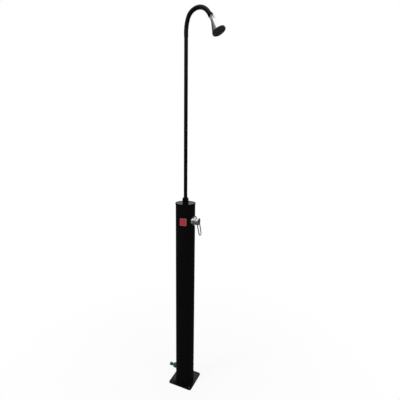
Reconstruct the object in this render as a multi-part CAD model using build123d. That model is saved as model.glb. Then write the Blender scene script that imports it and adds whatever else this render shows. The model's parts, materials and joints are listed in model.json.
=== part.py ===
from build123d import *
from math import asin, cos, degrees, radians, sin, sqrt, tan
import os

# Outdoor shower post: a black water column on a square foot, a single-lever mixer on its side,
# a thin riser with a gooseneck, a ball-jointed shower head and a hose inlet low on the back.
# Row frame: Z up, origin at the centre of the foot's underside, +X towards mixer and arm.

# ---------------------------------------------------------------- driving dimensions, mm
# foot
plate_side = 150.0
plate_thickness = 6.0
plate_corner_radius = 12.0
plate_edge_round = 1.2
bolt_spacing = 118.0
bolt_hole_radius = 4.5
foot_screw_radius = 2.5
foot_screw_head_radius = 4.8
foot_screw_length = 14.0
foot_screw_circle = 36.0

# water column
column_radius = 55.0
column_wall = 3.2
column_top = 1131.5
plug_depth = 26.0
plug_floor = 10.0
plug_wall = 5.0

# cap on the column
cap_overhang = 1.8
cap_skirt = 9.0
cap_rim_height = 1.0
cap_rim_width = 2.6
cap_plate = 4.5
cap_spigot_depth = 15.0
cap_spigot_wall = 4.0
cap_round = 0.8
cap_ring_section = 1.5

# badge on the column
badge_width = 36.0
badge_height = 40.0
badge_thickness = 0.8
badge_corner = 2.5
badge_turn = -77.4

# hose inlet, low on the back
inlet_height = 72.0
nipple_thread_radius = 10.5
nipple_bore_radius = 7.5
nipple_flange_radius = 14.0
nipple_flange_thickness = 3.0
nipple_stub = 9.0
nipple_inner_reach = 19.0
inlet_gasket_thickness = 1.5
strainer_thickness = 1.5
backnut_flats = 26.0
backnut_height = 6.0
tee_radius = 13.0
tee_run_radius = 11.0
tee_run_length = 24.0

# hose adapter
adapter_collar_radius = 14.5
adapter_collar_length = 15.0
adapter_cone_length = 8.0
adapter_neck_radius = 6.5
adapter_neck_length = 7.0
adapter_knob_radius = 9.5
adapter_knob_length = 14.0
adapter_nose_round = 2.0
adapter_bore_radius = 4.5
adapter_ribs = 12
adapter_rib_radius = 1.1
adapter_ring_section = 1.8

# inner tubes
tube_radius = 6.0
tube_wall = 1.5
tube_nut_flats = 21.0
tube_nut_height = 9.0
port_boss_radius = 9.0
port_reach = 24.0
port_depth = 13.0
hot_tube_offset = 40.0
hot_tube_top_gap = 14.0
hot_tube_bend = 16.0

# mixer
mixer_drop = 99.0
escutcheon_radius = 28.2
escutcheon_wall = 2.0
escutcheon_stand = 2.0
escutcheon_lip = 3.5
escutcheon_round = 0.9
chamber_radius = 19.5
chamber_flange_radius = 26.0
chamber_flange_thickness = 6.0
manifold_radius = 13.0
manifold_tail = 14.0
manifold_taper = 9.0
chamber_skirt = 3.0
cartridge_radius = 17.5
cartridge_wall = 2.1
cartridge_height = 23.0
cartridge_floor = 3.0
ring_nut_height = 4.0
ring_nut_bore = 13.0
ceramic_radius = 13.2
ceramic_thickness = 4.0
moving_ceramic_radius = 11.5
mixing_length = 13.0
mixing_width = 8.0
mixing_depth = 2.0
driver_thickness = 4.0
base_seal_section = 1.0
port_radius = 2.6
port_circle = 7.0
sleeve_flange_thickness = 2.6
sleeve_hub_radius = 10.5
sleeve_hub_top = 8.0
lever_pin_radius = 1.6
spindle_width = 7.0
spindle_knob_radius = 2.6
spindle_arm = 7.0
spindle_socket_reach = 24.8
lift_limit = 25.0
dome_radius = 22.0
dome_wall = 1.2
dome_mouth_radius = 12.9
dome_stand = 0.5

# handle
handle_radius = 18.0
handle_bulge_radius = 21.8
handle_bulge_reach = 5.0
handle_rim_radius = 20.6
handle_length = 17.5
handle_stand = 10.0
handle_face_round = 2.0
lever_tip_drop = 82.0
lever_lean = 11.0
lever_setback = 8.7
lever_root_width = 36.0
lever_tip_width = 32.0
lever_thickness = 4.5
lever_rail_width = 5.0
lever_edge_round = 1.2
grub_screw_radius = 1.4
grub_screw_setback = 4.0
grub_screw_sink = 4.0
index_plug_radius = 4.5
index_plug_depth = 1.6

# gland on the cap
gland_neck_radius = 13.5
gland_flange_radius = 17.0
gland_flange_height = 6.0
gland_neck_height = 14.0
gland_nut_radius = 17.4
gland_nut_height = 25.0
gland_nut_taper_height = 7.0
gland_nut_taper = 4.0
gland_body_depth = 30.0
gland_stub_depth = 10.0
gland_backnut_flats = 34.0
gland_backnut_height = 6.0
gland_gasket_thickness = 1.5
gland_ring_height = 6.0
riser_ring_section = 2.0
riser_inset = 25.0

# riser and gooseneck
riser_radius = 10.0
riser_wall = 1.5
riser_length = 901.0
socket_length = 20.0
gooseneck_wall = 0.9
bend_gap = 2.0
lead_radius = 200.0
lead_angle = 18.0
bend_radius = 61.1
bend_angle = 142.7
arm_tail = 27.6
arm_collar_radius = 13.2
arm_collar_length = 8.0
arm_collar_step = 1.5

# ball joint and shower head
ball_radius = 8.5
ball_stem_radius = 4.2
ball_reach = 16.0
ball_bore_radius = 3.0
stem_flange_radius = 10.5
stem_flange_thickness = 3.5
stem_plug_length = 14.0
head_tip = 8.3
swivel_nut_radius = 13.2
swivel_nut_length = 15.6
swivel_nut_crown = 7.8
swivel_nut_mouth = 7.6
swivel_nut_flutes = 12
seat_wall = 1.0
seat_low = -5.8
seat_high = -1.0
gasket_low = 1.5
gasket_high = 6.5
shell_neck_radius = 11.2
shell_wall = 2.0
shell_bore_radius = 4.0
shell_throat_radius = 13.5
shell_rim_radius = 34.0
shell_rim_reach = 65.9
shell_spigot_step = 2.0
shell_spigot_length = 4.0
face_ring_overhang = 0.5
face_ring_depth = 9.4
face_ring_lip = 2.5
face_ring_round = 3.8
spray_plate_thickness = 3.0
spray_plate_inset = 1.5
nozzle_radius = 1.3
nozzle_tip_radius = 0.9
nozzle_stand = 1.6
nozzle_rings = 4
nozzle_pitch = 6.4

# clearances
running = 0.05
sliding = 0.1
free = 0.3
ball_gap = 0.2

# ---------------------------------------------------------------- shared places
BOTTOM = (Align.CENTER, Align.CENTER, Align.MIN)
column_bore = column_radius - column_wall
cap_underside = column_top
cap_floor = cap_underside + cap_plate
cap_height = cap_floor + cap_rim_height
mixer_height = cap_height - mixer_drop
riser_bottom = cap_floor - riser_inset
riser_top = riser_bottom + riser_length
bend_start = riser_top + bend_gap
gooseneck_radius = riser_radius + sliding + gooseneck_wall

escutcheon_floor = column_radius + escutcheon_stand
escutcheon_front = escutcheon_floor + escutcheon_lip
pivot_reach = escutcheon_floor + dome_stand
seat_floor = pivot_reach + 2.0 - cartridge_height
arm_drop = bend_angle - 90.0
arm_direction = Vector(cos(radians(arm_drop)), 0, -sin(radians(arm_drop)))


def bent(start, radius, lean, new_lean):
    """Point that a bend in the XZ plane reaches as the pipe's lean off the vertical grows."""
    before, after = radians(lean), radians(new_lean)
    return start + Vector(cos(before) - cos(after), 0, sin(after) - sin(before)) * radius


lead_start = Vector(0, 0, bend_start)
lead_end = bent(lead_start, lead_radius, 0, lead_angle)
bend_end = bent(lead_end, bend_radius, lead_angle, bend_angle)
arm_end = bend_end + arm_direction * arm_tail
ball_centre = arm_end + arm_direction * ball_reach
head_drop = arm_drop + head_tip
head_direction = Vector(cos(radians(head_drop)), 0, -sin(radians(head_drop)))

# Local frames: z points outwards along each fitting, y stays the row's +Y.
mixer_frame = Plane(origin=(0, 0, mixer_height), x_dir=(0, 0, -1), z_dir=(1, 0, 0))
inlet_frame = Plane(origin=(0, 0, inlet_height), x_dir=(0, 0, 1), z_dir=(-1, 0, 0))
arm_frame = Plane(origin=arm_end, x_dir=Vector(0, 1, 0).cross(arm_direction), z_dir=arm_direction)
head_frame = Plane(origin=ball_centre, x_dir=Vector(0, 1, 0).cross(head_direction),
                   z_dir=head_direction)


# ---------------------------------------------------------------- plain shapes
def rod(radius, low, high):
    """Round bar about Z."""
    return Pos(0, 0, low) * Cylinder(radius, high - low, align=BOTTOM)


def ring(outer, inner, low, high):
    """Tube about Z."""
    return rod(outer, low, high) - rod(inner, low - 1, high + 1)


def turned(*points):
    """Solid turned about Z from (radius, height) points."""
    return revolve(Plane.XZ * make_face(Polyline(*points, close=True)), Axis.Z)


def hex_nut(flats, bore, low, high):
    """Six-sided nut with its corners chamfered by a turned cone."""
    blank = Pos(0, 0, low) * extrude(RegularPolygon(flats / 2, 6, major_radius=False), high - low)
    corner = flats / 2 / cos(radians(30))
    chamfer = corner - flats / 2
    lathe = turned((0, low), (flats / 2, low), (corner, low + chamfer), (corner, high - chamfer),
                   (flats / 2, high), (0, high))
    return (blank & lathe) - rod(bore, low - 1, high + 1)


def column_cylinder(radius):
    """The column's round, seen from a side fitting's local frame."""
    return Rot(0, 90, 0) * Cylinder(radius, 6 * escutcheon_radius)


def ball(radius):
    """Sphere at the local origin."""
    return Sphere(radius)


def along_x(radius, low, high):
    """Round bar along the local x axis."""
    return Rot(0, 90, 0) * rod(radius, low, high)


def along_y(radius, half_length):
    """Round bar along the local y axis."""
    return Rot(90, 0, 0) * Cylinder(radius, 2 * half_length)


def tube_along(path, outer, inner):
    """Bent tube: one ring swept along a path that starts by going up or sideways."""
    start = path ^ 0
    outside = sweep(start * Circle(outer), path=path)
    inside = sweep(start * Circle(inner), path=path)
    return outside - inside


# ---------------------------------------------------------------- foot
def square_corners(spacing):
    """The four corners of a square, in the row's plane."""
    return [Pos(x * spacing / 2, y * spacing / 2) for x in (-1, 1) for y in (-1, 1)]


def screw_places():
    """The four screws that join the foot to the plug stand on a circle, on the axes."""
    return [Rot(0, 0, 90 * turn) * Pos(foot_screw_circle, 0, 0) for turn in range(4)]


def base_plate():
    """Pressed square foot with rounded corners, four anchor holes and four screw sinks."""
    outline = RectangleRounded(plate_side, plate_side, plate_corner_radius)
    plate = extrude(outline, plate_thickness)
    plate = fillet(plate.edges().group_by(Axis.Z)[-1], plate_edge_round)
    for corner in square_corners(bolt_spacing):
        plate -= corner * rod(bolt_hole_radius, -1, plate_thickness + 1)
    for place in screw_places():
        plate -= place * screw_blank(foot_screw_radius + sliding, foot_screw_head_radius + sliding)
    return plate


def screw_blank(shank, head):
    """Countersunk screw shape, head down."""
    cone = head - shank
    return turned((0, 0), (head, 0), (shank, cone), (shank, foot_screw_length), (0, foot_screw_length))


def foot_screws():
    """Four countersunk screws with a cross-slot socket, from under the foot."""
    screw = screw_blank(foot_screw_radius, foot_screw_head_radius)
    screw -= extrude(RegularPolygon(foot_screw_radius * 0.6, 6), 2 * foot_screw_radius * 0.6)
    return [place * screw for place in screw_places()]


def bottom_plug():
    """Cup-shaped plug, cemented into the tube, that closes the column and takes the screws."""
    low = plate_thickness
    plug = rod(column_bore, low, low + plug_depth)
    plug -= rod(column_bore - plug_wall, low + plug_floor, low + plug_depth + 1)
    for place in screw_places():
        plug -= place * rod(foot_screw_radius, 0, foot_screw_length)
    return plug


# ---------------------------------------------------------------- column
def column_tube():
    """Black pressure pipe with a hole for the mixer and one for the inlet."""
    tube = ring(column_radius, column_bore, plate_thickness, column_top)
    tube -= mixer_frame * rod(chamber_radius + free, 0, 2 * column_radius)
    tube -= inlet_frame * rod(nipple_thread_radius + free, 0, 2 * column_radius)
    return tube


def top_cap():
    """Moulded cap: a shallow dished top, a skirt over the tube and a spigot inside it."""
    outer = column_radius + cap_overhang
    cap = rod(outer, cap_height - cap_skirt, cap_height)
    cap = fillet(cap.edges().group_by(Axis.Z)[-1], cap_round)
    cap -= rod(outer - cap_rim_width, cap_floor, cap_height + 1)
    cap -= rod(column_radius + sliding, cap_height - cap_skirt - 1, cap_underside)
    cap += ring(column_bore - sliding, column_bore - cap_spigot_wall,
                cap_underside - cap_spigot_depth, cap_underside)
    groove = cap_underside - cap_spigot_depth / 2
    cap -= ring(column_bore, column_bore - 2 * cap_ring_section,
                groove - cap_ring_section, groove + cap_ring_section)
    return cap - rod(gland_neck_radius + sliding, cap_underside - 1, cap_height + 1)


def cap_ring():
    """Squared rubber ring that seals the cap's spigot in the tube."""
    groove = cap_underside - cap_spigot_depth / 2
    return ring(column_bore, column_bore - 2 * cap_ring_section,
                groove - cap_ring_section, groove + cap_ring_section)


def badge():
    """Thin curved plate that follows the column."""
    blank = Rot(0, 90, 0) * extrude(RectangleRounded(badge_height, badge_width, badge_corner),
                                    2 * column_radius)
    shell = ring(column_radius + badge_thickness, column_radius, -badge_height, badge_height)
    return Rot(0, 0, badge_turn) * Pos(0, 0, mixer_height) * (blank & shell)


# ---------------------------------------------------------------- hose inlet
nipple_seat = column_radius + inlet_gasket_thickness
nipple_face = nipple_seat + nipple_flange_thickness
nipple_end = nipple_face + nipple_stub
nipple_inner_end = column_bore - nipple_inner_reach
backnut_face = sqrt(column_bore ** 2 - (backnut_flats / 2 / cos(radians(30))) ** 2) - free


def inlet_nipple():
    """Threaded bulkhead nipple with a round flange outside the wall."""
    nipple = rod(nipple_thread_radius, nipple_inner_end, nipple_end)
    nipple += rod(nipple_flange_radius, nipple_seat, nipple_face)
    nipple = chamfer(nipple.edges().group_by(Axis.Z)[-1], 0.8)
    return inlet_frame * (nipple - rod(nipple_bore_radius, nipple_inner_end - 1, nipple_end + 1))


def inlet_gasket():
    """Rubber ring whose back is shaped to the round of the column."""
    gasket = ring(nipple_flange_radius, nipple_thread_radius, column_bore, nipple_seat)
    return inlet_frame * (gasket - column_cylinder(column_radius))


def inlet_saddle():
    """Washer inside the wall: round on one side, flat for the nut on the other."""
    saddle = ring(nipple_flange_radius, nipple_thread_radius, backnut_face, column_radius)
    return inlet_frame * (saddle & column_cylinder(column_bore))


def inlet_backnut():
    """Nut that pulls the nipple against the wall from inside."""
    return inlet_frame * hex_nut(backnut_flats, nipple_thread_radius,
                                 backnut_face - backnut_height, backnut_face)


tee_mouth = backnut_face - backnut_height - 1.0
tee_shoulder = nipple_inner_end
tee_tail = tee_shoulder - tee_run_length
tee_branch = tee_shoulder - tee_run_length / 2


def inlet_tee():
    """Tee on the nipple: straight on it fills the column, upwards it feeds the mixer."""
    tee = rod(tee_radius, tee_shoulder - 2, tee_mouth) + rod(tee_run_radius, tee_tail, tee_shoulder)
    tee += Pos(0, 0, tee_branch) * along_x(port_boss_radius, 0, port_reach)
    tee -= rod(nipple_thread_radius, tee_shoulder, tee_mouth + 1)
    tee -= rod(nipple_bore_radius, tee_tail - 1, tee_shoulder + 1)
    tee -= Pos(0, 0, tee_branch) * along_x(tube_radius - tube_wall, 0, port_reach)
    tee -= Pos(0, 0, tee_branch) * along_x(tube_radius + running, port_reach - port_depth, port_reach + 1)
    return inlet_frame * tee


# ---------------------------------------------------------------- hose adapter
adapter_base = nipple_face + 0.5
adapter_collar_end = adapter_base + adapter_collar_length
adapter_neck_start = adapter_collar_end + adapter_cone_length
adapter_neck_end = adapter_neck_start + adapter_neck_length
adapter_tip = adapter_neck_end + adapter_knob_length


def hose_adapter():
    """Click-on hose spigot: ribbed collar, cone, neck and a knob."""
    body = turned((0, adapter_base), (adapter_collar_radius, adapter_base),
                  (adapter_collar_radius, adapter_collar_end),
                  (adapter_neck_radius, adapter_neck_start), (adapter_neck_radius, adapter_neck_end),
                  (adapter_knob_radius, adapter_neck_end), (adapter_knob_radius, adapter_tip),
                  (0, adapter_tip))
    body = fillet(body.edges().group_by(Axis.Z)[-1], adapter_nose_round)
    body -= rod(nipple_thread_radius + sliding, adapter_base - 1, nipple_end + strainer_thickness)
    body -= rod(adapter_bore_radius, adapter_base, adapter_tip + 1)
    for turn in range(adapter_ribs):
        rib = Pos(adapter_collar_radius, 0, 0) * rod(adapter_rib_radius, adapter_base + 1.5,
                                                     adapter_collar_end - 1.5)
        body += Rot(0, 0, turn * 360 / adapter_ribs) * rib
    return inlet_frame * body


def adapter_ring():
    """Rubber ring on the neck, against the knob."""
    seal = ring(adapter_neck_radius + adapter_ring_section, adapter_neck_radius,
                adapter_neck_end - adapter_ring_section, adapter_neck_end)
    return inlet_frame * seal


def inlet_strainer():
    """Rubber washer with a screen, pinched between nipple and adapter."""
    washer = ring(nipple_thread_radius, adapter_bore_radius, nipple_end,
                  nipple_end + strainer_thickness)
    return inlet_frame * washer


# ---------------------------------------------------------------- inner tubes
def cold_tube():
    """Cold feed from the tee up to the mixer, with one gentle double bend."""
    start = inlet_height + port_reach - port_depth
    end = mixer_height - port_reach + port_depth
    bend_low = start + (end - start) * 0.25
    bend_high = start + (end - start) * 0.45
    path = FilletPolyline((-tee_branch, 0, start), (-tee_branch, 0, bend_low),
                          (0, 0, bend_high), (0, 0, end), radius=8 * tube_radius)
    return tube_along(path, tube_radius, tube_radius - tube_wall)


def hot_standpipe():
    """Open pipe that takes the warmest water from the top of the column."""
    top = cap_underside - hot_tube_top_gap
    path = FilletPolyline((-manifold_tail + port_depth, 0, mixer_height),
                          (-hot_tube_offset, 0, mixer_height), (-hot_tube_offset, 0, top),
                          radius=hot_tube_bend)
    return tube_along(path, tube_radius, tube_radius - tube_wall)


gland_body_low = cap_floor - gland_body_depth
gland_stub_low = gland_body_low - gland_stub_depth


def mixed_tube():
    """Short pipe from the mixer's outlet up into the gland."""
    low = mixer_height + port_reach - port_depth
    return ring(tube_radius, tube_radius - tube_wall, low, gland_body_low)


def tube_nuts():
    """Four equal union nuts where the inner tubes meet their ports."""
    nut = hex_nut(tube_nut_flats, tube_radius + running, 0, tube_nut_height)
    places = [Pos(-tee_branch, 0, inlet_height + port_reach),
              Pos(0, 0, mixer_height - port_reach - tube_nut_height),
              Pos(0, 0, mixer_height + port_reach),
              Pos(-manifold_tail, 0, mixer_height) * Rot(0, -90, 0)]
    return [place * nut for place in places]


# ---------------------------------------------------------------- mixer body
flange_face = sqrt(column_bore ** 2 - chamber_flange_radius ** 2) - 1.5
chamber_mouth = seat_floor + cartridge_height + ring_nut_height


def mixer_body():
    """Brass casting: cartridge chamber through the wall, flange inside, three tube ports."""
    shoulder = flange_face - chamber_flange_thickness
    body = turned((0, -manifold_tail), (manifold_radius, -manifold_tail),
                  (manifold_radius, shoulder - chamber_skirt - manifold_taper),
                  (chamber_radius, shoulder - chamber_skirt),
                  (chamber_radius, shoulder), (chamber_flange_radius, shoulder),
                  (chamber_flange_radius, flange_face), (chamber_radius, flange_face),
                  (chamber_radius, chamber_mouth), (0, chamber_mouth))
    body += along_x(port_boss_radius, -port_reach, port_reach)
    body -= rod(cartridge_radius + sliding, seat_floor, chamber_mouth + 1)
    body -= along_x(tube_radius + running, port_reach - port_depth, port_reach + 1)
    body -= along_x(tube_radius + running, -port_reach - 1, port_depth - port_reach)
    body -= rod(tube_radius + running, -manifold_tail - 1, port_depth - manifold_tail)
    return mixer_frame * body


def mixer_gasket():
    """Moulded saddle between the casting's flat flange and the round inside of the column."""
    saddle = ring(chamber_flange_radius, chamber_radius, flange_face, column_radius)
    return mixer_frame * (saddle & column_cylinder(column_bore))


def escutcheon():
    """Chromed cup with a raised lip; its open back is cut to the round of the column."""
    inner = escutcheon_radius - escutcheon_wall
    cup = ring(escutcheon_radius, inner, 0, escutcheon_front)
    cup = fillet(cup.edges().group_by(Axis.Z)[-1], escutcheon_round)
    cup += ring(inner + escutcheon_round, chamber_radius + sliding,
                escutcheon_floor - escutcheon_wall, escutcheon_floor)
    return mixer_frame * (cup - column_cylinder(column_radius))


def dome_cover():
    """Chromed ball-shaped cover, centred on the lever's pivot, with a mouth for the spindle."""
    centre = Pos(0, 0, pivot_reach)
    dome = centre * (ball(dome_radius) - ball(dome_radius - dome_wall))
    dome &= rod(dome_radius + 1, pivot_reach, pivot_reach + dome_radius + 1)
    dome += ring(dome_radius - dome_wall / 2, chamber_radius + sliding, escutcheon_floor,
                 pivot_reach + 1.0)
    return mixer_frame * (dome - rod(dome_mouth_radius, pivot_reach, pivot_reach + 2 * dome_radius))


# ---------------------------------------------------------------- cartridge
cartridge_top = seat_floor + cartridge_height
fixed_low = seat_floor + cartridge_floor
moving_low = fixed_low + ceramic_thickness + running
driver_low = moving_low + ceramic_thickness
sleeve_low = driver_low + driver_thickness + sliding
cartridge_lip = sleeve_low + sleeve_flange_thickness + sliding
cartridge_bore = cartridge_radius - cartridge_wall
disc_shift = spindle_arm * sin(radians(lift_limit))
spindle_tip = pivot_reach - spindle_arm


def cartridge_housing():
    """Plastic cup that holds the ceramic discs, with three water ports in its floor."""
    cup = rod(cartridge_radius, seat_floor, cartridge_top)
    cup -= rod(cartridge_bore, fixed_low, cartridge_lip)
    cup -= rod(sleeve_hub_radius + running, cartridge_lip - 1, cartridge_top + 1)
    for port in water_ports():
        cup -= port * rod(port_radius, seat_floor - 1, fixed_low + 1)
    return mixer_frame * cup


def water_ports():
    """Cold, hot and outlet ports stand on one circle."""
    return [Rot(0, 0, angle) * Pos(port_circle, 0, 0) for angle in (60, 180, 300)]


def cartridge_seal():
    """Rubber ring round the three ports, in a groove between the discs and the housing's floor."""
    return mixer_frame * ring(cartridge_bore - sliding, ceramic_radius + sliding,
                              fixed_low, fixed_low + 2 * base_seal_section)


def fixed_disc():
    """Lower ceramic disc: its three ports are covered or opened by the moving disc."""
    disc = rod(ceramic_radius, fixed_low, fixed_low + ceramic_thickness)
    for port in water_ports():
        disc -= port * rod(port_radius, fixed_low - 1, fixed_low + ceramic_thickness + 1)
    return mixer_frame * disc


def moving_disc():
    """Upper ceramic disc with the mixing hollow in its underside."""
    disc = rod(moving_ceramic_radius, moving_low, moving_low + ceramic_thickness)
    hollow = Pos(-disc_shift, 0, moving_low) * extrude(SlotOverall(mixing_length, mixing_width),
                                                       mixing_depth)
    return mixer_frame * (disc - hollow)


def disc_driver():
    """Plate clipped on the moving disc; the spindle's knob pushes it from a cross slot."""
    driver = rod(moving_ceramic_radius, driver_low, driver_low + driver_thickness)
    slot_length = 2 * (spindle_knob_radius + sliding)
    slot = Pos(0, 0, driver_low) * Box(slot_length, spindle_width + 2 * free,
                                       2 * driver_thickness, align=BOTTOM)
    return mixer_frame * (driver - slot)


def turning_sleeve():
    """Sleeve that turns with the handle and carries the lever's pin across its slot."""
    sleeve = rod(cartridge_bore - free, sleeve_low, sleeve_low + sleeve_flange_thickness)
    sleeve += rod(sleeve_hub_radius, sleeve_low, pivot_reach + sleeve_hub_top)
    lift = radians(lift_limit)
    swing = sleeve_hub_top * tan(lift) + spindle_width / 2 / cos(lift) + free
    room = Box(swing + spindle_width / 2 + 2 * free, spindle_width + 2 * sliding, 60)
    sleeve -= Pos((spindle_width / 2 + 2 * free - swing) / 2, 0, pivot_reach) * room
    sleeve -= Pos(0, 0, sleeve_low) * Box(2 * (disc_shift + spindle_knob_radius + free),
                                          spindle_width + 2 * sliding, spindle_arm, align=BOTTOM)
    sleeve -= Pos(0, 0, pivot_reach) * along_y(lever_pin_radius, sleeve_hub_radius)
    return mixer_frame * sleeve


def lever_pin():
    """Steel pin that the spindle rocks on."""
    return mixer_frame * Pos(0, 0, pivot_reach) * along_y(lever_pin_radius, sleeve_hub_radius - sliding)


def spindle():
    """Square lever of the cartridge: a knob below the pin, a socket end for the handle above."""
    top = pivot_reach + spindle_socket_reach
    bar = Pos(0, 0, pivot_reach - spindle_arm / 2) * Box(spindle_width, spindle_width,
                                                         top - pivot_reach + spindle_arm / 2,
                                                         align=BOTTOM)
    neck = Pos(0, 0, spindle_tip) * Box(2 * spindle_knob_radius - 2, spindle_width, spindle_arm / 2 + 1,
                                        align=BOTTOM)
    knob = Pos(0, 0, spindle_tip) * along_y(spindle_knob_radius, spindle_width / 2)
    bar = bar + neck + knob
    bar -= Pos(0, 0, pivot_reach) * along_y(lever_pin_radius + running, spindle_width)
    return mixer_frame * bar


def cartridge_nut():
    """Slotted ring nut that holds the cartridge down in the chamber."""
    nut = ring(cartridge_radius, ring_nut_bore, cartridge_top, chamber_mouth)
    for turn in range(2):
        nut -= Rot(0, 0, 90 * turn) * Pos(0, 0, chamber_mouth) * Box(4, 3 * cartridge_radius, 4)
    return mixer_frame * nut


# ---------------------------------------------------------------- handle
handle_low = pivot_reach + handle_stand
handle_top = handle_low + handle_length
grub_screw_axis = handle_top - grub_screw_setback


def lever_outline(root_width, tip_width, root, tip):
    """Tapered paddle with a round tip, drawn down the local x axis."""
    slope = degrees(asin((root_width - tip_width) / 2 / (tip - root)))
    lean = radians(slope)
    end_radius = tip_width / 2
    centre = tip - end_radius
    shoulder = (centre + end_radius * sin(lean), end_radius * cos(lean))
    return make_face(Polyline((root, -root_width / 2), (shoulder[0], -shoulder[1]))
                     + ThreePointArc((shoulder[0], -shoulder[1]), (tip, 0), shoulder)
                     + Polyline(shoulder, (root, root_width / 2), (root, -root_width / 2)))


def lever_loop():
    """Open lever: two rails that meet in a round tip, leaning slightly outwards."""
    root = handle_radius / 2
    outline = lever_outline(lever_root_width, lever_tip_width, root, lever_tip_drop)
    window = lever_outline(lever_root_width - 2 * lever_rail_width, lever_tip_width - 2 * lever_rail_width,
                           handle_radius + 3, lever_tip_drop - lever_rail_width)
    loop = extrude(outline - window, lever_thickness)
    loop = fillet(loop.faces().sort_by(Axis.Z)[-1].edges(), lever_edge_round)
    lean = Pos(0, 0, handle_top - lever_setback) * Rot(0, -lever_lean, 0)
    return lean * loop


def handle():
    """Chromed handle: bulged cap over the dome with the open lever hanging from it."""
    side = ThreePointArc((handle_rim_radius, handle_low),
                         (handle_bulge_radius, handle_low + handle_bulge_reach),
                         (handle_radius, handle_top))
    ends = Polyline((handle_radius, handle_top), (0, handle_top), (0, handle_low),
                    (handle_rim_radius, handle_low))
    cap = revolve(Plane.XZ * make_face(side + ends), Axis.Z)
    cap = fillet(cap.edges().group_by(Axis.Z)[-1], handle_face_round)
    cap += lever_loop()
    cap -= Pos(0, 0, pivot_reach) * ball(dome_radius + free)
    socket = Pos(0, 0, pivot_reach) * Box(spindle_width + 2 * running, spindle_width + 2 * running,
                                          spindle_socket_reach, align=BOTTOM)
    cap -= socket
    cap -= Pos(0, 0, grub_screw_axis) * along_x(grub_screw_radius, -handle_rim_radius, 0)
    cap -= rod(index_plug_radius, handle_top - index_plug_depth, handle_top + 1)
    return mixer_frame * cap


def grub_screw():
    """Set screw that grips the spindle, sunk in the top of the cap."""
    head = handle_radius - grub_screw_sink
    screw = along_x(grub_screw_radius, -head, -spindle_width / 2)
    socket = along_x(grub_screw_radius * 0.55, -head - 1, 2 * grub_screw_radius - head)
    return mixer_frame * Pos(0, 0, grub_screw_axis) * (screw - socket)


def index_plug():
    """Small plug in the middle of the handle's face."""
    return mixer_frame * rod(index_plug_radius, handle_top - index_plug_depth, handle_top)


# ---------------------------------------------------------------- gland on the cap
gland_flange_top = cap_floor + gland_flange_height
gland_neck_top = gland_flange_top + gland_neck_height
gland_nut_top = gland_flange_top + gland_nut_height


def gland_body():
    """Bulkhead gland: flange on the cap, bore for the riser, stub below for the mixed water."""
    body = rod(gland_neck_radius, gland_body_low, gland_neck_top)
    body += rod(gland_flange_radius, cap_floor, gland_flange_top)
    body += rod(port_boss_radius, gland_stub_low, gland_body_low)
    body -= rod(riser_radius + running, riser_bottom - running, gland_neck_top + 1)
    body -= rod(tube_radius - tube_wall, gland_stub_low - 1, riser_bottom)
    body -= rod(tube_radius + running, gland_stub_low - 1, gland_body_low)
    groove = riser_groove()
    body -= rod(riser_radius + running + riser_ring_section, groove - riser_ring_section / 2,
                groove + riser_ring_section / 2)
    return body


def riser_groove():
    """Height of the riser's sealing ring."""
    return (riser_bottom + cap_floor) / 2


def riser_ring():
    """Rubber ring that seals the riser and lets it turn."""
    middle = riser_groove()
    half = riser_ring_section / 2
    return ring(riser_radius + running + riser_ring_section, riser_radius + running,
                middle - half, middle + half)


def gland_gasket():
    """Rubber washer under the cap."""
    return ring(gland_flange_radius, gland_neck_radius, cap_underside - gland_gasket_thickness,
                cap_underside)


def gland_backnut():
    """Nut under the cap that holds the gland."""
    top = cap_underside - gland_gasket_thickness
    return hex_nut(gland_backnut_flats, gland_neck_radius, top - gland_backnut_height, top)


def gland_nut():
    """Round nut with a coned top that squeezes the clamping ring on the riser."""
    nut = turned((0, gland_flange_top), (gland_nut_radius, gland_flange_top),
                 (gland_nut_radius, gland_nut_top - gland_nut_taper_height),
                 (gland_nut_radius - gland_nut_taper, gland_nut_top), (0, gland_nut_top))
    nut -= rod(gland_neck_radius, gland_flange_top - 1, gland_neck_top + gland_ring_height)
    return nut - rod(riser_radius + free, gland_flange_top, gland_nut_top + 1)


def gland_ring():
    """Clamping ring between the gland's mouth and its nut."""
    return ring(gland_neck_radius - sliding, riser_radius + running, gland_neck_top,
                gland_neck_top + gland_ring_height)


# ---------------------------------------------------------------- riser and gooseneck
def riser_pipe():
    """Straight riser."""
    return ring(riser_radius, riser_radius - riser_wall, riser_bottom, riser_top)


def gooseneck():
    """Pipe that slips over the riser, leans out gently, then turns the water back down."""
    rise = Line((0, 0, riser_top - socket_length), lead_start)
    lead = ThreePointArc(lead_start, bent(lead_start, lead_radius, 0, lead_angle / 2), lead_end)
    middle = bent(lead_end, bend_radius, lead_angle, (lead_angle + bend_angle) / 2)
    bend = ThreePointArc(lead_end, middle, bend_end)
    tail = Line(bend_end, arm_end)
    return tube_along(rise + lead + bend + tail, gooseneck_radius, gooseneck_radius - gooseneck_wall)


def arm_collar():
    """Black collar that trims the end of the gooseneck."""
    collar = ring(arm_collar_radius, gooseneck_radius, -arm_collar_length, arm_collar_step)
    collar += ring(arm_collar_radius, stem_flange_radius, 0, arm_collar_step)
    return arm_frame * collar


# ---------------------------------------------------------------- ball joint
def ball_stem():
    """Chromed ball on a stem, screwed into the gooseneck, bored for the water."""
    plug_radius = gooseneck_radius - gooseneck_wall
    stem = rod(plug_radius - sliding, -stem_plug_length, 0)
    stem += rod(stem_flange_radius, 0, stem_flange_thickness)
    stem += rod(ball_stem_radius, 0, ball_reach)
    stem += Pos(0, 0, ball_reach) * ball(ball_radius)
    return arm_frame * (stem - rod(ball_bore_radius, -stem_plug_length - 1, ball_reach + ball_radius + 1))


seat_inner = ball_radius + ball_gap
seat_outer = seat_inner + seat_wall
socket_radius = seat_outer + ball_gap


def ball_band(low, high):
    """Round band that follows the ball, so that it can slip on it every way."""
    return rod(seat_outer + 1, low, high) & (ball(seat_outer) - ball(seat_inner))


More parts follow.
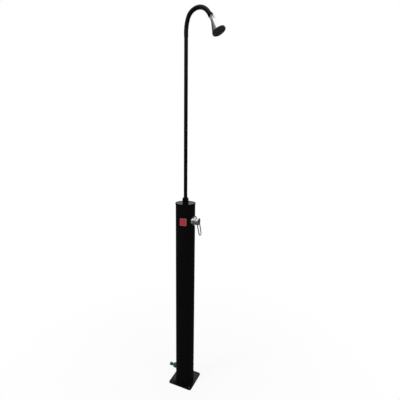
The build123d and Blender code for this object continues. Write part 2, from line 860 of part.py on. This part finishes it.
def ball_seat():
    """Plastic ring behind the ball, inside the swivel nut."""
    return head_frame * ball_band(seat_low, seat_high)


def ball_gasket():
    """Rubber ring in front of the ball, in the neck of the shell."""
    return head_frame * ball_band(gasket_low, gasket_high)


def swivel_nut():
    """Fluted chromed nut that holds the head on the ball."""
    low = -swivel_nut_crown
    nut = turned((0, low), (swivel_nut_radius - 3, low), (swivel_nut_radius, low + 4),
                 (swivel_nut_radius, low + swivel_nut_length - 1),
                 (swivel_nut_radius - 1, low + swivel_nut_length), (0, low + swivel_nut_length))
    nut -= rod(shell_neck_radius + sliding, 0, face_reach)
    nut -= ball(socket_radius)
    nut -= rod(swivel_nut_mouth, low - 1, 0)
    for turn in range(swivel_nut_flutes):
        flute = Pos(swivel_nut_radius + 0.6, 0, 0) * rod(1.2, low + 5, low + swivel_nut_length + 1)
        nut -= Rot(0, 0, turn * 360 / swivel_nut_flutes) * flute
    return head_frame * nut


# ---------------------------------------------------------------- shower head
shell_neck_low = free
shell_start = swivel_nut_length - swivel_nut_crown + free
shell_spigot_radius = shell_rim_radius - shell_spigot_step
shell_spigot_bore = shell_spigot_radius - shell_wall
shell_spigot_end = shell_rim_reach + shell_spigot_length
face_ring_radius = shell_rim_radius + face_ring_overhang
face_ring_bore = shell_spigot_bore - face_ring_lip
face_reach = shell_rim_reach + face_ring_depth
face_plane = face_reach - spray_plate_inset


def head_shell():
    """Chromed cone from the swivel nut out to the face ring, hollow for the water."""
    outside = turned((0, shell_neck_low), (shell_neck_radius, shell_neck_low),
                     (shell_neck_radius, shell_start), (shell_throat_radius, shell_start),
                     (shell_rim_radius, shell_rim_reach), (shell_spigot_radius, shell_rim_reach),
                     (shell_spigot_radius, shell_spigot_end), (0, shell_spigot_end))
    inner_throat = shell_throat_radius - shell_wall
    inside = turned((0, shell_start + 4), (inner_throat - 3, shell_start + 4),
                    (shell_spigot_bore, shell_rim_reach - 2 * shell_wall),
                    (shell_spigot_bore, shell_spigot_end + 1), (0, shell_spigot_end + 1))
    shell = outside - inside
    shell -= rod(shell_bore_radius, shell_neck_low, shell_rim_reach)
    return head_frame * (shell - ball(socket_radius))


def face_ring():
    """Thick rounded ring that screws on the shell's spigot and holds the spray plate."""
    rim = rod(face_ring_radius, shell_rim_reach, face_reach)
    rim = fillet(rim.edges().group_by(Axis.Z)[-1], face_ring_round)
    rim -= rod(shell_spigot_radius + sliding, shell_rim_reach - 1, shell_spigot_end)
    return head_frame * (rim - rod(face_ring_bore, shell_rim_reach, face_reach + 1))


def spray_plate():
    """Spray plate with a hole for each nozzle."""
    plate = rod(face_ring_bore - sliding, face_plane - spray_plate_thickness, face_plane)
    plate += rod(shell_spigot_bore - sliding, shell_spigot_end - 2, shell_spigot_end)
    plate += rod(face_ring_bore - sliding, shell_spigot_end - 1, face_plane)
    plate -= rod(face_ring_bore - 4, shell_spigot_end - 3, face_plane - spray_plate_thickness)
    for place in nozzle_places():
        plate -= place * extrude(Pos(0, 0, shell_rim_reach) * RegularPolygon(nozzle_radius, 6), face_reach)
    return head_frame * plate


def nozzle_places():
    """Rings of nozzles round one in the middle, evenly spaced."""
    places = [Pos(0, 0, 0)]
    for circle in range(1, nozzle_rings):
        count = 6 * circle
        for turn in range(count):
            places.append(Rot(0, 0, turn * 360 / count) * Pos(circle * nozzle_pitch, 0, 0))
    return places


def nozzles():
    """Soft tapered nozzles that stand proud of the spray plate."""
    base = face_plane - spray_plate_thickness
    shank = Pos(0, 0, base) * extrude(RegularPolygon(nozzle_radius, 6), spray_plate_thickness)
    tip = face_plane + nozzle_stand
    cone = loft([Pos(0, 0, face_plane) * RegularPolygon(nozzle_radius, 6),
                 Pos(0, 0, tip) * RegularPolygon(nozzle_tip_radius, 6)])
    nozzle = shank + cone
    return [head_frame * place * nozzle for place in nozzle_places()]


# ---------------------------------------------------------------- nodes
SUB_PARTS = [base_plate, foot_screws, bottom_plug, column_tube, top_cap, cap_ring, badge,
             inlet_nipple, inlet_gasket, inlet_saddle, inlet_backnut, inlet_tee, inlet_strainer,
             hose_adapter, adapter_ring, cold_tube, hot_standpipe, mixed_tube, tube_nuts,
             mixer_body, mixer_gasket, escutcheon, dome_cover, cartridge_housing, cartridge_seal,
             fixed_disc, moving_disc, disc_driver, turning_sleeve, lever_pin, spindle, cartridge_nut,
             handle, grub_screw, index_plug, gland_body, riser_ring, gland_gasket, gland_backnut,
             gland_nut, gland_ring, riser_pipe, gooseneck, arm_collar, ball_stem, ball_seat,
             ball_gasket, swivel_nut, head_shell, face_ring, spray_plate, nozzles]


def main():
    os.makedirs("parts", exist_ok=True)
    for make in SUB_PARTS:
        solid = make()
        if isinstance(solid, list):
            solid = Compound(children=solid)
        export_step(solid, f"parts/{make.__name__}.step")
    print(len(SUB_PARTS), "sub-parts written")


main()
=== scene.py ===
# %% [markdown]
# # An outdoor shower post
# A black water column stands on a square steel foot. A single-lever mixer sits on its side, a thin
# riser leaves its cap, and a gooseneck carries a small chromed shower head on a ball joint.
# The construction is loaded as a fixed frame: every rigid piece is already at its real size and
# place, in metres, so this lesson is about the camera, the light and the finishes, which a
# machinist's model leaves out.

# %% Load the frame
import bmesh
import bpy
import json
from math import cos, radians, sin
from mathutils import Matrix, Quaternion, Vector


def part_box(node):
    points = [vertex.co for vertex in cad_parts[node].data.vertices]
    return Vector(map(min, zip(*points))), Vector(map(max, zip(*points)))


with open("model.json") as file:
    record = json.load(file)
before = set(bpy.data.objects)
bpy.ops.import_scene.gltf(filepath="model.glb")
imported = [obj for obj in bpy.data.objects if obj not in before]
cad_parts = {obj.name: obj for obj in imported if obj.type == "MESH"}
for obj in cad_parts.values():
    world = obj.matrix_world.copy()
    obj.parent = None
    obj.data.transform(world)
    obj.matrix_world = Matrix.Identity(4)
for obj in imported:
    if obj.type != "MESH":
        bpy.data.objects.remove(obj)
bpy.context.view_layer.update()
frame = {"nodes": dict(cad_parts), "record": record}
nodes = frame["nodes"]

# %% [markdown]
# ## The camera
# A tall thin object seen from nearby shows clear perspective: we look down on its foot and up at its
# shower head. A long lens would flatten that, so the camera has its true distance and height. It
# stands at eye height, a little to the mixer's side, tips down, and is turned a few degrees off the
# post.

# %% Place the camera
EYE_HEIGHT = 1.4896
EYE_DISTANCE = 1.6725
EYE_AZIMUTH = radians(26.80)
LOOK_ASIDE = radians(2.775)
LOOK_DOWN = radians(11.39)
CAMERA_ROLL = radians(0.763)
FOCAL_PIXELS = 304.70
FRAME_PIXELS = 400
SENSOR_MM = 36.0


def place_camera():
    """A pinhole camera on a circle round the post, aimed slightly past it."""
    lens = bpy.data.cameras.new("eye")
    lens.sensor_width = SENSOR_MM
    lens.lens = FOCAL_PIXELS / FRAME_PIXELS * SENSOR_MM
    eye = bpy.data.objects.new("eye", lens)
    bpy.context.scene.collection.objects.link(eye)
    heading = EYE_AZIMUTH - LOOK_ASIDE
    forward = Vector((-sin(heading) * cos(LOOK_DOWN),
                      cos(heading) * cos(LOOK_DOWN),
                      -sin(LOOK_DOWN)))
    aim = forward.to_track_quat("-Z", "Y") @ Quaternion((0.0, 0.0, 1.0), CAMERA_ROLL)
    eye.rotation_mode = "QUATERNION"
    eye.rotation_quaternion = aim
    eye.location = (EYE_DISTANCE * sin(EYE_AZIMUTH),
                    -EYE_DISTANCE * cos(EYE_AZIMUTH),
                    EYE_HEIGHT)
    bpy.context.scene.camera = eye
    return eye


camera = place_camera()
bpy.context.scene.view_settings.view_transform = "Standard"
print("camera lens", round(camera.data.lens, 2), "mm at", [round(c, 3) for c in camera.location])

# %% [markdown]
# ## Sums on sockets
# A finish is a small sum: noise times a strength, plus a base value. In Blender's node editor each
# sign of that sum is a Math node, and written node by node it is long and hard to read. This class
# wraps one socket and lets Python's operators add the Math nodes.

# %% A socket that can be added and multiplied
class Wire:
    """One output socket of a shader tree, with arithmetic."""

    def __init__(self, tree, socket):
        self.tree = tree
        self.socket = socket

    def math(self, operation, *values, clamp=False):
        """A Math node on these values, in this order."""
        node = self.tree.nodes.new("ShaderNodeMath")
        node.operation = operation
        node.use_clamp = clamp
        for socket, value in zip(node.inputs, values):
            feed(self.tree, socket, value)
        return Wire(self.tree, node.outputs[0])

    def __add__(self, other):
        return self.math("ADD", self, other)

    def __sub__(self, other):
        return self.math("SUBTRACT", self, other)

    def __rsub__(self, other):
        return self.math("SUBTRACT", other, self)

    def __mul__(self, other):
        return self.math("MULTIPLY", self, other)

    def __truediv__(self, other):
        return self.math("DIVIDE", self, other)

    __radd__ = __add__
    __rmul__ = __mul__

    def absolute(self):
        return self.math("ABSOLUTE", self)

    def clamped(self):
        """Nothing below 0 or above 1."""
        return self.math("ADD", self, 0.0, clamp=True)

    def smaller(self, other):
        return self.math("MINIMUM", self, other)

    def larger(self, other):
        return self.math("MAXIMUM", self, other)

    def over(self, limit):
        """1 where the value is greater than the limit, and 0 elsewhere."""
        return self.math("GREATER_THAN", self, limit)


def feed(tree, socket, value):
    """Links a wire into a socket, or writes a plain value on it."""
    if isinstance(value, Wire):
        tree.links.new(value.socket, socket)
    elif socket.type == "RGBA":
        socket.default_value = (*value, 1.0)
    else:
        socket.default_value = value


print("sums ready")

# %% [markdown]
# ## A tree of nodes
# World, floor and finishes are all trees of nodes. One maker of nodes serves the three, so that each
# of them reads as a list of what it is made of. It sets a node's own settings first, because they
# decide which of its sockets are in use.

# %% One maker for every other node
AS_IT_IS = (1.0, 1.0, 1.0)
# how many layers of ever smaller spots a noise has
FINE = 2.0
SOFT = 3.0
CLOUDY = 4.0


def in_use(sockets, name=None):
    """The first socket in use, or the first of this name, or None where there is none."""
    return next((s for s in sockets if s.enabled and name in (None, s.name)), None)


class Tree:
    """A shader tree whose nodes are made by one method."""

    def __init__(self, tree):
        self.tree = tree
        tree.nodes.clear()

    def node(self, kind, *values, settings=None, output=None, **inputs):
        """Adds a node: first its settings, then its inputs in their order or by name.

        Hands back the output of that name, or else the first one in use.
        """
        node = self.tree.nodes.new("ShaderNode" + kind)
        for key, setting in (settings or {}).items():
            setattr(node, key, setting)
        for socket, value in zip(node.inputs, values):
            feed(self.tree, socket, value)
        for key, value in inputs.items():
            feed(self.tree, in_use(node.inputs, key.replace("_", " ")), value)
        return Wire(self.tree, in_use(node.outputs, output))

    def place(self, scale=AS_IT_IS):
        """The surface point in metres, scaled along each axis."""
        return self.node("Mapping", Vector=self.node("TexCoord", output="Object"), Scale=scale)

    def along(self, axis):
        """How far the surface point lies along one axis, in metres."""
        return self.node("SeparateXYZ", self.place(), output=axis)

    def noise(self, per_metre, detail=SOFT, scale=AS_IT_IS):
        """Uneven spots, so many to a metre. More detail adds smaller spots to them."""
        return self.node("TexNoise", Vector=self.place(scale), Scale=per_metre, Detail=detail)

    def blend(self, factor, first, second):
        """One colour turning into another."""
        return self.node("Mix", settings={"data_type": "RGBA"}, Factor=factor, A=first, B=second)

    def vector(self, operation, *values):
        """A Vector Math node on these vectors."""
        return self.node("VectorMath", *values, settings={"operation": operation})

    def ray(self, kind):
        """1 for rays of one kind, and 0 for all others."""
        return self.node("LightPath", output=f"Is {kind} Ray")


print("node maker ready")

# %% [markdown]
# ## A finish
# Every finish is one Principled shader, which can be plastic, rubber, paint or metal, so all of them
# react to light in the same honest way. Values that are the same all over are written on its own
# sockets. Only colour, roughness and the bump vary over the surface. A bump has a real depth in
# metres, and a firmness, which says how much of its slope the finish takes on.

# %% A finish made from such a tree
FIRM = 0.5
GENTLE = 0.4
FAINT = 0.3


class Finish(Tree):
    """A material round one Principled shader."""

    def __init__(self, name, **constants):
        self.name = name
        self.material = bpy.data.materials.new(name)
        self.material.use_nodes = True
        super().__init__(self.material.node_tree)
        surface = self.node("BsdfPrincipled")
        self.shader = surface.socket.node
        self.node("OutputMaterial", Surface=surface)
        self.set(**constants)

    def set(self, **values):
        """Writes or links the shader's own sockets."""
        for key, value in values.items():
            feed(self.tree, in_use(self.shader.inputs, key.replace("_", " ")), value)

    def bump(self, height, depth, firmness):
        self.set(Normal=self.node("Bump", Height=height, Distance=depth, Strength=firmness))


print("finish class ready")

# %% [markdown]
# ## The room
# The post stands alone in a white room. The world is white to the camera and in reflections, but it
# lights matt surfaces only at a plain level, so that black stays black. A mirror in an all-white
# room has no shape at all, so a studio hangs dark curtains round the set, which chrome draws as soft
# grey bands. Dark planes in the scene could do that, but they would also take light from the post
# and come into view from other sides. So each curtain is a window of directions in the world, in
# which mirrored rays see less white: from side to side, and from its hem to its rail. Headings run
# clockwise from straight behind the post, seen from above, and heights are angles above the horizon.

# %% The curtains round the set
CURTAINS = [
    # heading of its middle, half its width, hem, rail, softness of hem and rail, white it takes away
    (180, 55, -90, 25, 1, 25, 0.94),
    (-92, 40, -25, 49, 6, 3, 0.77),
    (-70, 34, -25, 38, 6, 6, 0.55),
    (-50, 10, -90, 30, 1, 6, 0.80),
    (122, 14, -75, 67, 6, 2, 0.94),
    (52, 58, -90, 17, 1, 5, 0.95),
]
SOFT_SIDE = radians(6)
STRAIGHT_DOWN = -90
LEVEL_ONLY = (1.0, 1.0, 0.0)


def rising(value, start, end):
    """0 below the start, 1 beyond the end, a straight ramp between."""
    return ((value - start) / (end - start)).clamped()


def curtain(tree, heading, half_width, hem, rail, soft_hem, soft_rail):
    """1 where the room is looked at inside the window, 0 outside it, with soft edges."""
    look = tree.node("TexCoord", output="Generated")
    level = tree.vector("NORMALIZE", tree.vector("MULTIPLY", look, LEVEL_ONLY))
    middle = (sin(radians(heading)), cos(radians(heading)), 0.0)
    aligned = tree.vector("DOT_PRODUCT", level, middle)
    half = radians(half_width)
    beside = rising(aligned, cos(half + SOFT_SIDE), cos(half - SOFT_SIDE))
    height = tree.node("SeparateXYZ", look, output="Z")
    lowest = max(hem - soft_hem, STRAIGHT_DOWN)
    above = rising(height, sin(radians(lowest)), sin(radians(hem + soft_hem)))
    beyond = rising(height, sin(radians(rail - soft_rail)), sin(radians(rail + soft_rail)))
    return beside * above * (1.0 - beyond)


print(len(CURTAINS), "curtains")

# %% Build the world
WHITE = (1.0, 1.0, 1.0)
WORLD_LEVEL = 0.55


def make_world():
    """Full white for eyes and, between the curtains, for mirrors. A plain level for all the rest."""
    world = bpy.data.worlds.new("white_room")
    world.use_nodes = True
    bpy.context.scene.world = world
    tree = Tree(world.node_tree)
    white = 1.0
    for *window, taken in CURTAINS:
        white = white * (1.0 - curtain(tree, *window) * taken)
    seen = (tree.ray("Camera") + tree.ray("Transmission")).clamped() * (1.0 - WORLD_LEVEL)
    mirrored = tree.ray("Glossy") * (white - WORLD_LEVEL)
    strength = seen + mirrored + WORLD_LEVEL
    tree.node("OutputWorld", Surface=tree.node("Background", Color=WHITE, Strength=strength))


make_world()
print("the room is white, and lights matt surfaces at", WORLD_LEVEL)

# %% [markdown]
# ## The floor
# The post needs a floor to stand on, but one that doesn't end in a horizon. A plain white plane
# would turn grey where the lamps are weak. So this round floor glows faintly white as a lit studio
# floor does, keeps a soft shadow near the foot, which tells the eye that the post stands on
# something, and fades into the room's white further out. Under the foot it gets no glow, so that the
# anchor holes look down on a shaded floor. Mirrored rays meet a dark rug round the post instead,
# which gives the underside of the chrome its grey.

# %% How the floor shades
FLOOR_PAINT = (0.9, 0.9, 0.9)
SHADOW_SHARE = 0.12
SHADOW_REACH = 1.4
FOOT_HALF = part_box("base_plate")[1].x
FOOT_MARGIN = 0.003
RUG_RADIUS = 2.3
RUG_EDGE = 0.25
RUG_DEPTH = 0.95


def floor_material():
    """Matt paint, which a white glow hides except where the floor is shaded."""
    material = bpy.data.materials.new("studio_floor")
    material.use_nodes = True
    tree = Tree(material.node_tree)
    mirrored = tree.ray("Glossy")
    from_post = tree.vector("LENGTH", tree.place())
    rug = ((RUG_RADIUS - from_post) / RUG_EDGE).clamped() * mirrored * RUG_DEPTH
    glow = tree.node("Emission", Color=WHITE, Strength=1.0 - rug)
    off_middle = tree.along("X").absolute().larger(tree.along("Y").absolute())
    under_foot = ((FOOT_HALF - off_middle) / FOOT_MARGIN).clamped()
    near_foot = (1.0 - from_post / SHADOW_REACH).clamped() * SHADOW_SHARE
    glowing = (1.0 - near_foot.larger(under_foot)) * (tree.ray("Camera") + mirrored).clamped()
    paint = tree.node("BsdfDiffuse", Color=FLOOR_PAINT)
    tree.node("OutputMaterial", Surface=tree.node("MixShader", glowing, paint, glow))
    return material


print("the shade under the foot is", round(2 * FOOT_HALF, 3), "m wide")

# %% Lay the floor
FLOOR_RADIUS = 2.4
FLOOR_CORNERS = 96


def make_floor():
    """A round plate, which is stage and no part of the shower."""
    mesh = bpy.data.meshes.new("floor")
    disc = bmesh.new()
    bmesh.ops.create_circle(disc, cap_ends=True, segments=FLOOR_CORNERS, radius=FLOOR_RADIUS)
    disc.to_mesh(mesh)
    disc.free()
    floor = bpy.data.objects.new("floor", mesh)
    bpy.context.scene.collection.objects.link(floor)
    mesh.materials.append(floor_material())


make_floor()
print("floor of radius", FLOOR_RADIUS, "m")

# %% [markdown]
# ## The lamps
# Two large soft lamps: a key from the front left, which models the round shapes, and a weaker one
# from the right. Small lamps would draw hard shadows and edges. Neither lamp shows in reflections,
# because the white room already does.

# %% Hang the lamps
KEY_PLACE = Vector((-2.2, -3.0, 3.6))
FILL_PLACE = Vector((3.2, -1.0, 2.4))
KEY_WATTS = 70.0
FILL_WATTS = 25.0
LAMP_SIZE = 1.8
LAMP_AIM = Vector((0.0, 0.0, 1.0))


def hang_lamp(name, place, watts):
    """A round soft lamp that looks at the middle of the post."""
    lamp = bpy.data.lights.new(name, "AREA")
    lamp.shape = "DISK"
    lamp.size = LAMP_SIZE
    lamp.energy = watts
    holder = bpy.data.objects.new(name, lamp)
    bpy.context.scene.collection.objects.link(holder)
    holder.location = place
    holder.rotation_euler = (LAMP_AIM - place).to_track_quat("-Z", "Y").to_euler()
    holder.visible_glossy = False


hang_lamp("key_lamp", KEY_PLACE, KEY_WATTS)
hang_lamp("fill_lamp", FILL_PLACE, FILL_WATTS)
print("two lamps hang")

# %% [markdown]
# ## Black plastics and paint
# Nearly all of the post is black, but it is black in several ways: the extruded column and the
# coated pipe have faint drawing lines, mouldings have a fine even grain, and powder coat has the
# dimples called orange peel. A black surface shows only its gloss, so these are told apart by
# roughness and a very small bump. The lines are noise that hardly changes on its way up. An image
# of scratches would do, but it needs unwrapped meshes, and noise on the surface point does not.

# %% The column's extruded plastic
MM_PER_METRE = 1000.0
UPRIGHT = (1.0, 1.0, 0.01)
COLUMN_DARK = (0.0027, 0.0027, 0.0029)
COLUMN_LIGHT = (0.0040, 0.0040, 0.0043)
COLUMN_GLOSS = 0.05
COLUMN_ROUGHNESS = 0.38
COLUMN_LINES = 160.0
COLUMN_LINE_DEPTH = 0.00004
LINE_ROUGHNESS = 0.08
DUST_SPOTS = 14.0
DUST_ROUGHNESS = 0.06


def column_black():
    """Extruded plastic, matt and a little dusty."""
    finish = Finish("column_black", Specular_IOR_Level=COLUMN_GLOSS)
    lines = finish.noise(COLUMN_LINES, scale=UPRIGHT)
    dust = finish.noise(DUST_SPOTS)
    finish.set(Base_Color=finish.blend(dust, COLUMN_DARK, COLUMN_LIGHT),
               Roughness=COLUMN_ROUGHNESS + lines * LINE_ROUGHNESS + dust * DUST_ROUGHNESS)
    finish.bump(lines, COLUMN_LINE_DEPTH, FIRM)
    return finish


print("column lines are", round(MM_PER_METRE / COLUMN_LINES, 1), "mm apart")

# %% The riser's coated pipe
PIPE_DARK = (0.0009, 0.0010, 0.0015)
PIPE_LIGHT = (0.0014, 0.0016, 0.0023)
PIPE_GLOSS = 0.32
PIPE_ROUGHNESS = 0.28
PIPE_LINES = 500.0
PIPE_LINE_DEPTH = 0.00002
PIPE_SPOTS = 20.0


def pipe_black():
    """Coated pipe, satin and faintly blue."""
    finish = Finish("pipe_black", Specular_IOR_Level=PIPE_GLOSS)
    lines = finish.noise(PIPE_LINES, scale=UPRIGHT)
    finish.set(Base_Color=finish.blend(finish.noise(PIPE_SPOTS), PIPE_DARK, PIPE_LIGHT),
               Roughness=PIPE_ROUGHNESS + lines * LINE_ROUGHNESS)
    finish.bump(lines, PIPE_LINE_DEPTH, FAINT)
    return finish


print("pipe lines are", round(MM_PER_METRE / PIPE_LINES, 1), "mm apart")

# %% Mouldings and powder coat
MOULD_GRAINS = 2600.0
MOULD_GRAIN_DEPTH = 0.00002
MOULD_SPOTS = 30.0
SPOT_LIGHTENS = 1.5
SPOT_ROUGHNESS = 0.08
FOOT_BLACK = (0.003, 0.003, 0.0032)
FOOT_ROUGHNESS = 0.17
FOOT_GLOSS = 0.26
PEEL_DIMPLES = 420.0
PEEL_DEPTH = 0.00006


def moulded_black(name, colour, roughness, gloss):
    """A black moulding with a fine grain and slightly uneven gloss."""
    finish = Finish(name, Specular_IOR_Level=gloss)
    spots = finish.noise(MOULD_SPOTS)
    lighter = tuple(c * SPOT_LIGHTENS for c in colour)
    finish.set(Base_Color=finish.blend(spots, colour, lighter),
               Roughness=roughness + spots * SPOT_ROUGHNESS)
    finish.bump(finish.noise(MOULD_GRAINS, FINE), MOULD_GRAIN_DEPTH, GENTLE)
    return finish


def foot_paint():
    """Powder coat: glossy, with orange peel in place of the grain."""
    finish = moulded_black("foot_paint", FOOT_BLACK, FOOT_ROUGHNESS, FOOT_GLOSS)
    finish.bump(finish.noise(PEEL_DIMPLES, FINE), PEEL_DEPTH, FIRM)
    return finish


print("orange peel dimples are", round(MM_PER_METRE / PEEL_DIMPLES, 1), "mm apart")

# %% [markdown]
# ## Chrome
# Chrome is a mirror with a faint haze of wiped water and a few dried drops. Its look comes from what
# stands round it, so it needs only a small spread of roughness. The drops are the cores of Voronoi
# cells, kept where a broad noise says that water splashed.

# %% Chrome
WIPE_MARKS = 40.0
WIPED_DOWN = (1.0, 1.0, 0.4)
WIPE_ROUGHNESS = 0.05
DROPS = 260.0
DROP_RADIUS = 0.16
DROP_ROUGHNESS = 0.8
SPLASHES = 25.0
SPLASH_LIMIT = 0.56


def chrome(name, dark, light, haze):
    """A mirror, hazed where water was wiped off and in a few small dried drops."""
    finish = Finish(name, Metallic=1.0)
    wiped = finish.noise(WIPE_MARKS, CLOUDY, WIPED_DOWN)
    from_drop = finish.node("TexVoronoi", Vector=finish.place(), Scale=DROPS)
    dried = (DROP_RADIUS - from_drop).clamped() * finish.noise(SPLASHES).over(SPLASH_LIMIT)
    finish.set(Base_Color=finish.blend(wiped, dark, light),
               Roughness=haze + wiped * WIPE_ROUGHNESS + dried * DROP_ROUGHNESS)
    return finish


print("dried drops are", round(2 * DROP_RADIUS * MM_PER_METRE / DROPS, 1), "mm across")

# %% [markdown]
# ## Turned metal
# Brass and steel pieces come from the lathe, so fine rings of tool marks run round their axis. Real
# grooves would take thousands of faces. Noise that changes quickly along the mixer's axis and slowly
# across it draws such rings on the mixer's pieces, and leaves the upright pieces looking brushed.
# Broader noise stains the metal.

# %% Bare metal
TOOL_MARKS = 1800.0
TOOL_MARK_DEPTH = 0.00002
TOOL_MARK_ROUGHNESS = 0.15
RINGS = (1.0, 0.15, 0.15)
STAINS = 70.0


def turned_metal(name, dark, light, roughness):
    """Bare metal from the lathe, a little stained."""
    finish = Finish(name, Metallic=1.0)
    marks = finish.noise(TOOL_MARKS, FINE, RINGS)
    finish.set(Base_Color=finish.blend(finish.noise(STAINS), dark, light),
               Roughness=roughness + marks * TOOL_MARK_ROUGHNESS)
    finish.bump(marks, TOOL_MARK_DEPTH, GENTLE)
    return finish


print("tool marks are", round(MM_PER_METRE / TOOL_MARKS, 1), "mm apart")

# %% [markdown]
# ## The badge
# A small curved plate of gloss red stands on the column, bare, with a paler border. A second mesh
# could carry the border, but it would have to follow the plate's curve. Here it is a sum on the
# surface point: how far that lies inside the plate's edges, sideways and up.

# %% Red plate with a pale border
BADGE_LOW, BADGE_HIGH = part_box("badge")
BADGE_MIDDLE = (BADGE_LOW + BADGE_HIGH) / 2
BADGE_HALF = (BADGE_HIGH - BADGE_LOW) / 2
BADGE_BORDER = 0.0022
BADGE_DARK = (0.36, 0.024, 0.036)
BADGE_LIGHT = (0.44, 0.032, 0.046)
BADGE_PALE = (0.62, 0.2, 0.22)
BADGE_SPOTS = 60.0
BADGE_ROUGHNESS = 0.28


def badge_red():
    """Red enamel under a thin coat, paler round its edge."""
    finish = Finish("badge_red", Specular_IOR_Level=0.4, Coat_Weight=0.3, Coat_Roughness=0.1)
    from_side = BADGE_HALF.x - (finish.along("X") - BADGE_MIDDLE.x).absolute()
    from_top = BADGE_HALF.z - (finish.along("Z") - BADGE_MIDDLE.z).absolute()
    border = (1.0 - from_side.smaller(from_top) / BADGE_BORDER).clamped()
    spots = finish.noise(BADGE_SPOTS)
    red = finish.blend(spots, BADGE_DARK, BADGE_LIGHT)
    finish.set(Base_Color=finish.blend(border, red, BADGE_PALE),
               Roughness=BADGE_ROUGHNESS + spots * SPOT_ROUGHNESS)
    return finish


print("badge spans", round(2 * BADGE_HALF.z, 4), "m")

# %% [markdown]
# ## The rest of the finishes
# Rubber is dull, ceramic is pale and half polished, inner tubes are milky, and the hose spigot is
# dark green moulded plastic. They differ only in colour, roughness and gloss, so one function makes
# them all. The list below has one finish for each material slot of the construction.

# %% Rubber, ceramic and coloured plastics
PLAIN_SPOTS = 45.0
PLAIN_SPOT_ROUGHNESS = 0.1
PLAIN_GRAINS = 900.0
PLAIN_GRAIN_DEPTH = 0.00003


def plain(name, dark, light, roughness, gloss=0.4):
    """A matt or satin surface with a soft mottling and a fine grain."""
    finish = Finish(name, Specular_IOR_Level=gloss)
    spots = finish.noise(PLAIN_SPOTS)
    finish.set(Base_Color=finish.blend(spots, dark, light),
               Roughness=roughness + spots * PLAIN_SPOT_ROUGHNESS)
    finish.bump(finish.noise(PLAIN_GRAINS, FINE), PLAIN_GRAIN_DEPTH, GENTLE)
    return finish


print("the moulded grain is", round(MM_PER_METRE / PLAIN_GRAINS, 1), "mm wide")

# %% One finish for each slot
ALL_FINISHES = [
    # name, dark and light colour (a moulding works out its light one), roughness, gloss
    foot_paint(),
    column_black(),
    pipe_black(),
    badge_red(),
    moulded_black("cap_black", (0.003, 0.003, 0.0036), 0.2, 0.035),
    moulded_black("collar_black", (0.003, 0.003, 0.003), 0.25, 0.08),
    moulded_black("face_black", (0.008, 0.008, 0.0088), 0.3, 0.35),
    chrome("chrome", (0.84, 0.85, 0.87), (0.91, 0.915, 0.92), 0.06),
    chrome("head_chrome", (0.92, 0.94, 0.96), (0.97, 0.98, 0.985), 0.05),
    turned_metal("screw_steel", (0.42, 0.42, 0.44), (0.6, 0.6, 0.62), 0.25),
    turned_metal("raw_brass", (0.42, 0.29, 0.11), (0.66, 0.5, 0.23), 0.22),
    plain("face_grey", (0.017, 0.017, 0.0185), (0.026, 0.026, 0.028), 0.5, 0.15),
    plain("nozzle_rubber", (0.012, 0.012, 0.013), (0.022, 0.022, 0.024), 0.6, 0.25),
    plain("seal_rubber", (0.008, 0.008, 0.008), (0.016, 0.016, 0.016), 0.7, 0.2),
    plain("adapter_green", (0.034, 0.080, 0.063), (0.055, 0.112, 0.092), 0.32, 0.3),
    plain("water_tube", (0.6, 0.6, 0.57), (0.72, 0.72, 0.7), 0.4),
    plain("inner_plastic", (0.03, 0.03, 0.03), (0.06, 0.06, 0.06), 0.5),
    plain("cartridge_plastic", (0.66, 0.66, 0.62), (0.76, 0.76, 0.73), 0.4),
    plain("white_ceramic", (0.78, 0.78, 0.75), (0.86, 0.86, 0.83), 0.15, 0.6),
    plain("plug_grey", (0.06, 0.06, 0.065), (0.1, 0.1, 0.11), 0.3),
]
finish_of = {finish.name: finish.material for finish in ALL_FINISHES}
print(len(finish_of), "finishes")

# %% [markdown]
# ## Dress the construction
# Each solid part keeps its mesh and takes the finish that its slot names. The construction's own
# record says which slot a node has, so nothing has to be repeated here.

# %% Give every node its finish
slot_of = {part["node"]: part["material_slot"] for part in frame["record"]["subparts"]}
for name, node in nodes.items():
    node.data.materials.clear()
    node.data.materials.append(finish_of[slot_of[name]])
print("dressed", len(slot_of), "nodes")
